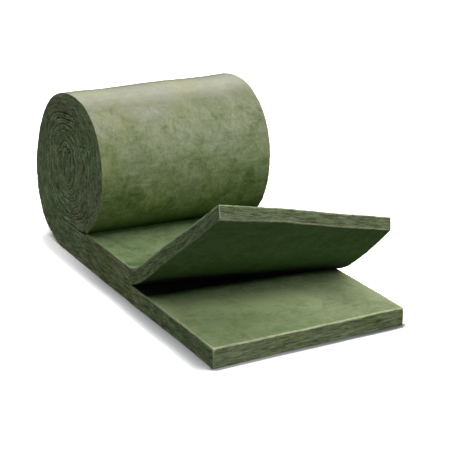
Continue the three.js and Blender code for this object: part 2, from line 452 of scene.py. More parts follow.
def painted_crease_shade_and_light(points):
    """Painted shade in the two creases, where the roll meets the mat and where the flap
    meets the lower layer: -depth * exp(-(run from the crease / reach)^power), and never
    below -limit. Depth and reach change evenly from the near side to the far side. Further
    out the lower layer's top gets painted light, as far as the flap covers it."""
    step = np.linalg.norm(np.diff(points, axis=0), axis=2)
    run = np.concatenate([np.zeros((1, points.shape[1])), np.cumsum(step, axis=0)])
    across = points[0, :, 1] / MAT_WIDTH
    change = np.zeros(run.shape)
    for name, crease, depths, reaches, power, limit in PAINTED_CREASE_SHADE:
        away = np.abs(run[columns_of(name)] - run[SEGMENT_START[crease]])
        depth = depths[0] + (depths[1] - depths[0]) * across
        reach = reaches[0] + (reaches[1] - reaches[0]) * across
        deeper = depth * np.exp(-((away / reach) ** power))
        change[columns_of(name)] -= np.minimum(deeper, limit)
        if name == "lower_top":
            # painted light on the lower layer's top, fading out towards the far side where the
            # flap no longer covers it
            pale = sum(
                much * bell(away - middle, wide)
                for much, middle, wide in PAINTED_LIGHT_BANDS
            )
            pale = pale * (0.4 + 0.6 * smoothstep(across, 0.0, 0.14))
            change[columns_of(name)] += pale * (1 - smoothstep(across, 0.62, 0.84))
    return change


# ---------------- a patchwork of grids
VALUES = ("rim", "wear", "gap", "tone", "inner", "calm")


class Patchwork:
    """Grids of points that share their borders, gathered into one closed mesh."""

    def __init__(self):
        self.count = 0
        self.points = []
        self.keys = []
        self.values = {name: [] for name in VALUES + ("u", "v")}
        self.quads = []
        self.cut = []

    def add(self, points, keys, cut, outward_y=None, **values):
        """A grid of points with its values. Points with the same key are one point. cut
        says which faces are a cut edge. A side grid's faces look towards outward_y."""
        rows, columns = points.shape[:2]
        index = self.count + np.arange(rows * columns).reshape(rows, columns)
        quads = np.stack(
            [index[:-1, :-1], index[:-1, 1:], index[1:, 1:], index[1:, :-1]], axis=-1
        ).reshape(-1, 4)
        flat = points.reshape(-1, 3)
        if outward_y is not None:
            corners = flat[quads - self.count]
            one = corners[:, 2] - corners[:, 0]
            two = corners[:, 3] - corners[:, 1]
            if np.cross(one, two)[:, 1].sum() * outward_y < 0:
                quads = quads[:, ::-1]
        self.quads.append(quads)
        self.cut.append(np.broadcast_to(cut, (rows - 1, columns - 1)).reshape(-1))
        self.points.append(flat)
        self.keys.append(keys.reshape(-1, 3))
        for name, kept in self.values.items():
            value = np.broadcast_to(values.get(name, 0.0), (rows, columns))
            kept.append(value.reshape(-1))
        self.count += rows * columns
        return index

    def zip_up(self, one, two, share_one, share_two, outward_y):
        """Triangles that join two lines with different numbers of points, each a quad with
        one corner doubled. share_one and share_two say how far along each point lies."""
        step = np.arange(len(one) - 1)
        other = np.searchsorted(share_two[1:], share_one[1:] - 1e-9)
        first = np.stack([one[step], one[step + 1], two[other], two[other]], axis=1)
        step = np.arange(len(two) - 1)
        other = np.searchsorted(share_one[1:], share_two[1:] + 1e-9)
        second = np.stack([two[step + 1], two[step], one[other], one[other]], axis=1)
        quads = np.concatenate([first, second])
        if outward_y > 0:
            quads = quads[:, [1, 0, 2, 3]]
        self.quads.append(quads)
        self.cut.append(np.ones(len(quads)))


def coons(bottom, top, left, right, u, v):
    """The grid between four border lines: its two ruled surfaces added, less the bilinear
    one through the corners. A border is its points in the side view, their run along the
    mat and their height through it."""
    bottom, top, left, right = (
        np.column_stack([line] + [np.broadcast_to(one, len(line)) for one in coordinates])
        for line, *coordinates in (bottom, top, left, right)
    )
    u, v = u[:, None, None], v[None, :, None]
    return (
        (1 - v) * bottom[:, None]
        + v * top[:, None]
        + (1 - u) * left[None]
        + u * right[None]
        - (1 - u) * (1 - v) * bottom[0]
        - u * (1 - v) * bottom[-1]
        - (1 - u) * v * top[0]
        - u * v * top[-1]
    )


def distance_to(points, line):
    """Shortest distance from each point to a line of points, and the nearest one's index."""
    flat = points.reshape(-1, 2).astype(np.float32)
    line = line.astype(np.float32)
    square = (flat**2).sum(1)[:, None] - 2 * flat @ line.T + (line**2).sum(1)[None]
    nearest = square.argmin(axis=1)
    found = np.linalg.norm(flat - line[nearest], axis=1)
    return found.reshape(points.shape[:-1]), nearest.reshape(points.shape[:-1])


# ---------------- the wound turns
def column_travel(end):
    """The angle wound inwards at each column of one turn, from the notch."""
    throat = end["notch_angle"] - (end["foot_angle"] - 2 * np.pi)
    first = np.linspace(0, throat, THROAT_STEPS, endpoint=False)
    rest = np.linspace(throat, 2 * np.pi, ROUND_STEPS, endpoint=False)
    return np.concatenate([first, rest])


def turn_line(end, side, seed):
    """The line between the turns, from the notch to the eye: a spiral whose radius falls
    evenly with the angle, round an upright fold at the eye, and a little uneven. The
    radius is times 1 + TURN_WIDENING * cos 2a, and the height gains reach * tanh(3 sin a),
    which makes the inner turns long and upright."""
    first_radius = side["mean_radius"] - OUTER_TURN
    turns = first_radius / TURN_PITCH
    one_turn = column_travel(end)
    travel = np.concatenate([one_turn + 2 * np.pi * k for k in range(int(turns) + 2)])
    travel = travel[: np.searchsorted(travel, 2 * np.pi * (turns - EYE_TURNS))]
    angle = end["notch_angle"] - travel
    left = np.clip(1 - travel / (2 * np.pi * turns), 0, 1)
    eye = end["middle"] + [EYE_FORWARD, EYE_RISE]
    notch = end["inset"][0]
    shape = 1 + TURN_WIDENING * np.cos(2 * angle)
    lead_in = np.linalg.norm(notch - eye) - first_radius * shape[0]
    lead_share = np.exp(-travel / TURN_LEAD_IN)
    uneven = TURN_UNEVENNESS * wave_field(travel[:, None], seed, 0.7, 3.0)
    uneven = uneven * (1 - lead_share) * np.clip(left * 5, 0, 1)
    radius = first_radius * shape * left + lead_in * lead_share + uneven
    reach = EYE_REACH * (1 - 0.85 * left) * (1 - np.exp(-travel / 2))
    upright = reach * np.tanh(3 * np.sin(angle))
    line = eye + np.stack(
        [radius * np.cos(angle), radius * np.sin(angle) + upright], axis=1
    )
    away = np.linalg.norm(line - eye + [0, SLUMP_DROP], axis=1)
    line[:, 0] -= EYE_SLUMP * bell(away, SLUMP_REACH)
    return line + (notch - line[0]) * np.exp(-travel / NOTCH_FIT)[:, None]


def one_turn_in(line):
    """For each point of the turn line, the one a turn further in, or the line's end."""
    return np.concatenate([line[TURN_STEPS:], np.repeat(line[-1:], TURN_STEPS, axis=0)])


def bells(flat, places):
    """The sum over the places of much * exp(-(distance / size)^2)."""
    return sum(
        much * np.exp(-(((flat - [x, z]) ** 2).sum(axis=-1)) / size**2)
        for x, z, size, much in places
    )


# ---------------- the mat's two cut sides
def ruled(first, last, share):
    """Points on the straight lines from first to last, at these shares of them."""
    return first + (last - first) * share[:, None]


def cut_patches(inset, line):
    """The five grids of a cut side: each point's place in the side view, its run along
    the mat and its height through it. line lies between the turns."""

    def border(name, backwards=False):
        points = inset[columns_of(name)]
        return points[::-1] if backwards else points

    split = border("floor_front")[0]
    root = border("flap_under")[0]
    bend = border("mat_top")[0]

    def layer(under, over, end, left, run, low):
        """One layer of the mat, from the split to its end. low is its underside's height
        through the mat."""
        through = low + LAYER_SHARES * LOWER_LAYER
        return coons(
            (border(under), run, low),
            (border(over, True), run, low + LOWER_LAYER),
            (left, split[0], through),
            (border(end), run[-1], through),
            eased(SEGMENT_STEPS[under], EASE),
            LAYER_SHARES,
        )

    left = ruled(split, root, LAYER_SHARES)
    run = border("floor_front")[:, 0]
    lower_layer = layer("floor_front", "lower_top", "free_end", left, run, 0)
    flap_left = ruled(root, bend, LAYER_SHARES)
    run = split[0] + run_along(border("flap_under"))
    flap = layer("flap_under", "flap_top", "flap_end", flap_left, run, LOWER_LAYER)
    # the tail, from the roll's foot to the split, and up to the first turn's line
    bottom = border("floor_back")
    top = np.concatenate([line[THROAT_STEPS:0:-1], border("mat_top", True)])
    foot_line = ruled(bottom[0], top[0], MAT_SHARES)
    right = np.concatenate([left, flap_left[1:]])
    right_through = np.concatenate([LAYER_SHARES, 1 + LAYER_SHARES[1:]]) * LOWER_LAYER
    run = bottom[:, 0]
    tail = coons(
        (bottom, run, 0),
        (top, run, MAT_THICKNESS),
        (foot_line, run[0], MAT_SHARES * MAT_THICKNESS),
        (right, run[-1], right_through),
        (run - run[0]) / (run[-1] - run[0]),
        np.linspace(0, 1, OUTER_ROWS + 1),
    )
    # the outermost turn, from the foot over the top to the notch
    outer = border("roll", True)
    inner = line[THROAT_STEPS : TURN_STEPS + 1]
    run = run[0] - run_along(outer)
    turn = ruled(outer[:, None], inner[:, None], MAT_SHARES)
    through = np.broadcast_to(MAT_SHARES * MAT_THICKNESS, turn.shape[:2])
    runs = np.broadcast_to(run[:, None], turn.shape[:2])
    outer_turn = np.dstack([turn, runs, through])
    # the inner turns, one long strip from the notch to the eye
    turn = ruled(line[:, None], one_turn_in(line)[:, None], TURN_SHARES)
    run = run[-1] - run_along(turn[:, INNER_ROWS // 2])
    number = 1 + np.arange(len(line)) / TURN_STEPS
    through = number[:, None].astype(int) * MAT_THICKNESS + TURN_SHARES[None] * TURN_PITCH
    runs = np.broadcast_to(run[:, None], through.shape)
    return lower_layer, flap, tail, outer_turn, np.dstack([turn, runs, through])


def cut_relief(flat, run, through, rim, gap, halfway, open_gap, seed):
    """How far each point lies behind the plane of the cut: gaps between turns, a fainter
    line halfway through each turn, long thin fibres and slow clouds. It dies out at the
    border. Also how strong the halfway line is."""
    hollow = GAP_DEPTH * open_gap * bell(gap, GAP_REACH)
    hollow += GAP_SLOPE * np.exp(-gap / GAP_SLOPE_REACH)
    layered = np.clip(0.5 + 0.6 * wave_field(flat, seed + 4, 0.02, 0.09), 0, 1.3)
    hollow += LAYER_LINE_DEPTH * layered * bell(halfway, LAYER_LINE_REACH)
    strands = np.stack([run * 0.09, through], axis=-1)
    fibre = wave_field(strands, seed + 5, 0.007, 0.016, 60)
    fibre += 0.7 * wave_field(strands * [3, 1], seed + 6, 0.006, 0.010, 60)
    fibre *= 1 - bell(gap, GAP_FADE)
    cloud = wave_field(flat, seed + 7, 0.05, 0.2)
    relief = hollow + FIBRE_DEPTH * fibre + CLOUD_DEPTH * cloud
    return relief * (1 - bell(rim, RIM_FADE)), layered


def add_cut_side(work, side, end, seed, plane_y, outward_y):
    """One cut side of the mat: the lower layer, the flap, the tail, the outermost turn and
    the inner turns. Returns the point numbers of the outermost turn's inner line and of
    the inner turns' first line, which is the same line with other points on it."""
    inset = end["inset"]
    line = turn_line(end, side, seed)
    fine_border = refined(inset, BORDER_PARTS)
    fine_pale_line = refined(COLUMN_PALE_LINE, BORDER_PARTS)
    first_turn = line[: TURN_STEPS + 1]
    fine_turn = np.concatenate([refined(first_turn, TURN_PARTS), first_turn[-1:]])
    lower_layer, flap, tail, outer_turn, inner_turns = cut_patches(inset, line)
    indices = []
    for patch, kind in (
        (lower_layer, "flat"),
        (flap, "flat"),
        (tail, "beside_turns"),
        (outer_turn, "beside_turns"),
        (inner_turns, "wound"),
    ):
        flat, run, through = patch[..., :2], patch[..., 2], patch[..., 3]
        at_eye = np.linalg.norm(flat - line[-1], axis=-1) < EYE_WELD
        flat = np.where(at_eye[..., None], line[-1], flat)
        keys = np.dstack([flat[..., 0], np.full(flat.shape[:2], plane_y), flat[..., 1]])
        if kind == "wound":
            thick = np.linalg.norm(one_turn_in(line) - line, axis=1)[:, None]
            gap = np.minimum(TURN_SHARES, 1 - TURN_SHARES)[None] * thick
            halfway = np.abs(TURN_SHARES - 0.5)[None] * thick
            rim, wear = np.full(gap.shape, RIM_REACH), np.zeros(gap.shape)
            near_start, _ = distance_to(flat[:TURN_STEPS], fine_border)
            rim[:TURN_STEPS] = np.minimum(near_start, RIM_REACH)
        else:
            rim, nearest = distance_to(flat, fine_border)
            wear = fine_pale_line[nearest]
            rim = np.minimum(rim, RIM_REACH)
            gap = halfway = np.full(rim.shape, NO_GAP)
            if kind == "beside_turns":
                gap, _ = distance_to(flat, fine_turn)
        # gaps come and go along the turns, and stand open at the notch
        open_gap = 0.6 + 0.5 * wave_field(flat, seed + 3, 0.03, 0.11)
        open_gap = np.clip(open_gap, 0.0, 1.5)
        gaping = bells(flat, GAPING_PLACES)
        open_gap = np.maximum(open_gap + 0.9 * gaping, 0.1)
        from_notch = np.linalg.norm(flat - inset[0], axis=-1)
        mouth = bell(from_notch, MOUTH_REACH)
        open_gap = open_gap * (1 - mouth) + MOUTH_OPENING * mouth
        relief, layered = cut_relief(flat, run, through, rim, gap, halfway, open_gap, seed)
        drift = np.stack([wave_field(flat, seed + k, 0.13, 0.40) for k in (8, 9)], axis=-1)
        flat = flat + LINE_DRIFT * drift * (1 - np.exp(-rim / DRIFT_FADE))[..., None]
        points = np.dstack([flat[..., 0], plane_y - outward_y * relief, flat[..., 1]])
        gap_seen = gap - MOUTH_SEEN * mouth - GAPING_SEEN * gaping
        line_seen = halfway + LINE_SEEN - STRONG_SEEN * layered
        indices.append(
            work.add(
                points,
                keys,
                1.0,
                outward_y,
                rim=rim,
                wear=wear,
                gap=np.minimum(gap_seen, line_seen),
                tone=0.25 + bells(flat, TINTED_PATCHES),
                u=run,
                v=through,
            )
        )
    return indices[3][-1], indices[4][0]


def add_long_faces(work):
    """The mat's long faces: the closed side view carried from the near side to the far
    side by straight lines, with a quarter round along both borders."""
    bend = np.radians(np.linspace(0, 90, 5))
    arris_in = ARRIS_RADIUS * (1 - np.cos(bend))
    growing = ARRIS_RADIUS + np.cumsum([0.0012, 0.0018, 0.0028, 0.004, 0.0055])
    from_side = np.concatenate([arris_in, growing])
    middle = np.linspace(from_side[-1], MAT_WIDTH - from_side[-1], WIDTH_STEPS + 1)
    y = np.concatenate([from_side[:-1], middle, MAT_WIDTH - from_side[-2::-1]])
    to_side = np.minimum(y, MAT_WIDTH - y)
    depth = np.clip(1 - to_side / ARRIS_RADIUS, 0, 1)
    fall = ARRIS_RADIUS * (1 - np.sqrt(1 - depth**2))
    share = (y / MAT_WIDTH)[None, :, None]
    flat = near["columns"][:, None] * (1 - share) + far["columns"][:, None] * share
    normal = near["normals"][:, None] * (1 - share) + far["normals"][:, None] * share
    flat = flat + normal * fall[None, :, None]
    points = np.dstack([flat[..., 0], np.broadcast_to(y, flat.shape[:2]), flat[..., 1]])

    # distance to the nearest corner of the side view, measured on the closed line
    mean = (near["columns"] + far["columns"]) / 2
    run = run_along(mean)
    corner_pale_line = {"free_end": 0.15, "lower_top": 1.0, "flap_end": 0.75, "flap_top": 0.85}
    corners = np.array([SEGMENT_START[name] for name in corner_pale_line])
    weights = np.array(list(corner_pale_line.values()))
    distance = np.abs(run[:, None] - run[None, corners])
    to_corner = distance.min(axis=1)[:, None]
    corner_weight = weights[distance.argmin(axis=1)][:, None]
    side_closer = to_side[None] < to_corner
    rim = np.where(side_closer, to_side[None], to_corner)
    wear = np.where(side_closer, COLUMN_PALE_LINE[:, None], corner_weight)

    # the mat's two ends are cut faces, and so are the rounded borders
    is_end = np.zeros(LOOP_STEPS + 1, bool)
    for name in ("free_end", "flap_end"):
        is_end[columns_of(name)] = True
    cut = np.zeros((LOOP_STEPS, len(y) - 1))
    cut[is_end[:-1] & is_end[1:]] = 1
    cut[:, :2] = 1
    cut[:, -2:] = 1

    inner = np.ones(LOOP_STEPS + 1)
    inner[: SEGMENT_START["lower_top"]] = 0
    paler_far = np.zeros(rim.shape)
    paler_far[columns_of("lower_top")] = FAR_PALER * (y / MAT_WIDTH - 0.6)
    u = np.broadcast_to(run[:, None], rim.shape)
    v = np.broadcast_to(y[None], rim.shape)
    u, v = np.where(is_end[:, None], v, u), np.where(is_end[:, None], u, v)
    # only the points on the two borders are shared with other grids, so the ones between
    # get keys far from any place, all the way round the loop
    keys = points.copy()
    columns = np.arange(LOOP_STEPS + 1) % LOOP_STEPS
    keys[:, 1:-1, 0] = 5 + 0.001 * columns[:, None]
    keys[:, 1:-1, 2] = 0
    work.add(
        points,
        keys,
        cut,
        rim=rim,
        wear=wear,
        gap=NO_GAP,
        tone=COLUMN_TONE_AND_PAINTED_LIGHT[:, None] + painted_crease_shade_and_light(points) + paler_far,
        inner=inner[:, None],
        calm=is_end[:, None].astype(float),
        u=u,
        v=v,
    )


def unevenness(points, rim):
    """How far each point is pushed off the plain shape: slow bulges through the whole
    mat, and small ones along its borders. It depends only on the place, so shared
    borders stay together, and it dies out at the floor."""
    lift = smoothstep(points[:, 2], 0.0, 0.06)
    push = np.zeros_like(points)
    for axis in range(3):
        for much, first_seed, shortest, longest in BULGES:
            push[:, axis] += much * wave_field(points, first_seed + axis, shortest, longest)
        ragged = wave_field(points, 130 + axis, 0.008, 0.02, 60)
        push[:, axis] += RAGGED * ragged * np.exp(-rim / RAGGED_REACH)
    push[:, 2] *= lift
    # the flap is a little crowned towards its end
    outwards = smoothstep(points[:, 0], -0.30, 0.0) * smoothstep(points[:, 2], 0.20, 0.36)
    crown = bell(points[:, 1] - 0.18, 0.12)
    crown -= 0.6 * bell(points[:, 1] - 0.42, 0.11)
    push[:, 2] += CROWN * outwards * crown
    # the roll's top sags a little between its ends
    on_top = smoothstep(points[:, 2], 0.38, 0.52)
    push[:, 2] -= SAG * on_top * np.sin(np.pi * np.clip(points[:, 1] / MAT_WIDTH, 0, 1))
    # the far upper corner of the free end is worn round
    corner = np.array([0.0, MAT_WIDTH, LOWER_LAYER])
    away = np.linalg.norm(points - corner, axis=1)[:, None]
    inward = np.array([-0.5, -0.6, -0.6])
    return push + inward * WORN_CORNER * bell(away, WORN_REACH)


# ---------------- the mesh
def make_mat():
    """All the grids pushed about a little, their shared borders merged, as one mesh."""
    work = Patchwork()
    add_long_faces(work)
    for side, end, seed, plane_y, outward_y in (
        (NEAR_SIDE, near, 20, 0.0, -1),
        (FAR_SIDE, far, 60, MAT_WIDTH, 1),
    ):
        outer, inner = add_cut_side(work, side, end, seed, plane_y, outward_y)
        # the outermost turn's many rows meet the inner turns' few rows on one line
        work.zip_up(outer, inner, MAT_SHARES, TURN_SHARES, outward_y)
    points = np.concatenate(work.points)
    values = {name: np.concatenate(kept) for name, kept in work.values.items()}
    quads = np.concatenate(work.quads)
    cut = np.concatenate(work.cut)
    key = np.floor(np.concatenate(work.keys) / KEY_SIZE + KEY_SHIFT).astype(np.int64)
    _, first, merged = np.unique(key, axis=0, return_index=True, return_inverse=True)
    merged = merged.reshape(-1)
    place = points[first] + unevenness(points[first], values["rim"][first])
    place = place + [FREE_END_X, -MAT_WIDTH / 2, 0]
    # a quad with two corners merged is a triangle, and one with less left is dropped
    corners = merged[quads]
    keep = corners != np.roll(corners, 1, axis=1)
    folded = (corners[:, 0] == corners[:, 2]) | (corners[:, 1] == corners[:, 3])
    good = (keep.sum(axis=1) >= 3) & ~(folded & keep.all(axis=1))
    corners, keep, quads, cut = corners[good], keep[good], quads[good], cut[good]
    loops, source = corners[keep], quads[keep]
    sizes = keep.sum(axis=1)
    mesh = bpy.data.meshes.new("wool_mat_surface")
    mesh.vertices.add(len(place))
    mesh.vertices.foreach_set("co", place.astype(np.float32).ravel())
    mesh.loops.add(len(loops))
    mesh.loops.foreach_set("vertex_index", loops.astype(np.int32))
    mesh.polygons.add(len(sizes))
    starts = np.concatenate([[0], np.cumsum(sizes)[:-1]])
    mesh.polygons.foreach_set("loop_start", starts.astype(np.int32))
    mesh.polygons.foreach_set("use_smooth", np.ones(len(sizes), bool))
    mesh.update(calc_edges=True)
    for name in VALUES:
        layer = mesh.attributes.new(name, "FLOAT", "CORNER")
        layer.data.foreach_set("value", values[name][source].astype(np.float32))
    layer = mesh.attributes.new("cut", "FLOAT", "CORNER")
    layer.data.foreach_set("value", np.repeat(cut, sizes).astype(np.float32))
    uv = mesh.uv_layers.new(name="along_and_through")
    pair = np.stack([values["u"][source], values["v"][source]], axis=1)
    uv.data.foreach_set("uv", pair.astype(np.float32).ravel())
    triangles = int((sizes - 2).sum())
    print("mat:", len(place), "points,", triangles, "triangles, repaired:", mesh.validate())
    return mesh


# ---------------- materials
WHITE = (1.0, 1.0, 1.0)


class Graph:
    """A node tree emptied but for its output, and short ways to add and join nodes."""

    def __init__(self, owner, output="ShaderNodeOutputMaterial"):
        owner.use_nodes = True
        self.tree = owner.node_tree
        self.tree.nodes.clear()
        self.surface = self.tree.nodes.new(output).inputs["Surface"]

    def feed(self, socket, value):
        if isinstance(value, bpy.types.NodeSocket):
            self.tree.links.new(value, socket)
        else:
            socket.default_value = value

    def node(self, kind, **inputs):
        made = self.tree.nodes.new(kind)
        for name, value in inputs.items():
            self.feed(made.inputs[name.replace("_", " ")], value)
        return made

    def attribute(self, name):
        made = self.tree.nodes.new("ShaderNodeAttribute")
        made.attribute_name = name
        return made.outputs["Fac"]

    def math(self, operation, one, two, clamp=False):
        made = self.tree.nodes.new("ShaderNodeMath")
        made.operation = operation
        made.use_clamp = clamp
        self.feed(made.inputs[0], one)
        self.feed(made.inputs[1], two)
        return made.outputs[0]

    def plus(self, total, *others):
        for other in others:
            total = self.math("ADD", total, other)
        return total

    def times(self, total, *others):
        for other in others:
            total = self.math("MULTIPLY", total, other)
        return total

    def less(self, one, two):
        return self.math("SUBTRACT", one, two)

    def closeness(self, distance, reach):
        """1 at no distance, falling evenly to 0 at the reach."""
        return self.math("SUBTRACT", 1.0, self.math("DIVIDE", distance, reach), True)

    def blend(self, *parts):
        """0.5 plus each value's distance from 0.5 times its weight."""
        total = 0.5
        for value, weight in parts:
            total = self.plus(self.times(self.less(value, 0.5), weight), total)
        return total

    def noise(self, vector, scale, detail, roughness, distortion=0.0):
        made = self.node(
            "ShaderNodeTexNoise",
            Vector=vector,
            Scale=scale,
            Detail=detail,
            Roughness=roughness,
            Distortion=distortion,
        )
        return made.outputs["Fac"]

    def drawn_out(self, vector, scales, detail, roughness, distortion=0.0, **more):
        """Noise with its own scale along each of the vector's first two parts, which may
        be turned and shifted."""
        mapping = self.node("ShaderNodeMapping", Vector=vector, Scale=(*scales, 1))
        mapping.inputs["Rotation"].default_value = (0, 0, more.get("turn", 0))
        mapping.inputs["Location"].default_value = (*more.get("shift", (0, 0)), 0)
        return self.noise(mapping.outputs["Vector"], 1.0, detail, roughness, distortion)

    def span(self, value, low, high, to_low=0.0, to_high=1.0):
        """to_low up to low, to_high from high on, and smooth between them."""
        made = self.node(
            "ShaderNodeMapRange",
            Value=value,
            From_Min=low,
            From_Max=high,
            To_Min=to_low,
            To_Max=to_high,
        )
        made.interpolation_type = "SMOOTHSTEP"
        return made.outputs["Result"]

    def ramp(self, value, *stops):
        """A value's colour: each stop is a place and the colour there."""
        made = self.node("ShaderNodeValToRGB", Fac=value)
        ramp = made.color_ramp
        while len(ramp.elements) < len(stops):
            ramp.elements.new(0.5)
        for element, (place, *colour) in zip(ramp.elements, stops):
            element.position = place
            element.color = (*colour, 1)
        return made.outputs["Color"]

    def mix(self, share, one, two, kind="MIX"):
        made = self.node("ShaderNodeMix", Factor=share)
        made.data_type = "RGBA"
        made.blend_type = kind
        for socket, value in ((made.inputs[6], one), (made.inputs[7], two)):
            self.feed(socket, (*value, 1) if isinstance(value, tuple) else value)
        return made.outputs[2]

    def openness(self, samples, **inputs):
        """How open the surroundings are within a distance, 0 to 1."""
        made = self.node("ShaderNodeAmbientOcclusion", **inputs)
        made.samples = samples
        return made.outputs["AO"]

    def pair(self, kind, one, two, **inputs):
        """Two shaders mixed or added."""
        made = self.node(kind, **inputs)
        self.feed(made.inputs[-2], one.outputs[0])
        self.feed(made.inputs[-1], two.outputs[0])
        return made

    def show(self, seen, lighting):
        """One shader where the surface is seen, also in or through something, and the
        other where it lights the object."""
        rays = self.node("ShaderNodeLightPath").outputs
        share = self.math("MAXIMUM", rays["Is Camera Ray"], rays["Is Glossy Ray"])
        share = self.math("MAXIMUM", share, rays["Is Transmission Ray"])
        both = self.pair("ShaderNodeMixShader", lighting, seen, Fac=share)
        self.feed(self.surface, both.outputs[0])


def felt_look(g, place, uv, grain):
    """The long faces' colour and height: cloudy felt with smears and curled wisps. The
    outer face is the one that shows on the roll, and the inner one lay inside it."""
    tone, inner = g.attribute("tone"), g.attribute("inner")
    outer = g.less(1.0, inner)
    along, across = g.node("ShaderNodeSeparateXYZ", Vector=uv).outputs[:2]
    clouds = g.noise(place, 8.0, 5, 0.6, 0.5)
    mottles = g.noise(place, 24.0, 6, 0.62, 1.2)
    wisps = g.noise(place, 48.0, 4, 0.6, 2.2)
    one_way = g.drawn_out(uv, (60, 20), 4, 0.6, 0.9, turn=0.35)
    other_way = g.drawn_out(uv, (18, 52), 4, 0.6, 0.9, turn=0.5, shift=(5, 2))
    here = g.span(g.noise(place, 6.0, 2, 0.5), 0.44, 0.56)
    smears = g.plus(g.times(one_way, here), g.times(other_way, g.less(1.0, here)))
    # the pattern is fainter under the roll's painted highlight and in the darkest painted shade
    painted_highlight = g.times(outer, g.span(tone, 0.22, 0.42, 0.0, 0.62))
    lit = g.span(tone, -1.0, -0.4, 0.34, 1.0)
    lit = g.plus(lit, g.times(inner, g.span(tone, 0.5, 1.2, 0.0, 0.32)))
    lively = g.times(g.span(inner, 0.0, 1.0, 1.20, 0.88), g.less(1.0, painted_highlight), lit)
    share = g.blend((clouds, 0.45), (mottles, 0.50), (wisps, 0.24), (smears, 0.34), (grain, 0.20))
    # painted light and painted shade move the colour up or down the ramp
    plain_tone = g.math("MINIMUM", tone, 1.6)
    share = g.plus(g.times(g.less(share, 0.5), lively), g.times(plain_tone, 0.22), 0.5)
    # the darkest stops of both ramps are near black, for the painted shade deep in the creases
    outer_felt = g.ramp(
        share,
        (0.00, 0.003, 0.010, 0.001),
        (0.22, 0.074, 0.114, 0.034),
        (0.38, 0.162, 0.207, 0.090),
        (0.53, 0.262, 0.292, 0.180),
        (0.70, 0.378, 0.390, 0.290),
        (0.90, 0.545, 0.552, 0.428),
    )
    inner_felt = g.ramp(
        share,
        (0.00, 0.0003, 0.0010, 0.0003),
        (0.22, 0.045, 0.092, 0.022),
        (0.38, 0.140, 0.205, 0.092),
        (0.53, 0.215, 0.287, 0.143),
        (0.70, 0.292, 0.368, 0.194),
        (0.90, 0.405, 0.475, 0.272),
    )
    drift = g.noise(place, 6.0, 3, 0.55, 0.6)
    hue = g.ramp(
        g.less(drift, g.span(across, 0.0, 0.22, 0.07, 0.0)),
        (0.34, 1.02, 1.01, 0.87),
        (0.44, 0.98, 1.00, 0.96),
        (0.54, 0.99, 1.00, 1.02),
        (0.64, 1.00, 0.99, 1.07),
    )
    colour = g.mix(inner, outer_felt, inner_felt)
    colour = g.mix(g.times(outer, 0.9), colour, hue, "MULTIPLY")
    # greener low on the roll's front, a painted shade tint where it turns under, and on the near
    # side of the lower layer's top
    low_front = g.times(outer, g.span(along, 0.20, 0.42, 1.0, 0.0))
    colour = g.mix(low_front, colour, (0.91, 1.00, 0.80), "MULTIPLY")
    near_side = g.times(g.span(tone, 0.6, 1.2), g.span(across, 0.20, 0.50, 1.0, 0.0), inner)
    colour = g.mix(near_side, colour, (0.94, 1.02, 0.91), "MULTIPLY")
    # painted light: above 1.6 the colour is brightened further, mostly on the lower layer's top
    # under the flap
    paler = g.times(g.less(tone, plain_tone), 0.40)
    colour = g.mix(paler, colour, colour, "ADD")
    return colour, g.blend((mottles, 0.6), (smears, 0.5), (grain, 0.35))


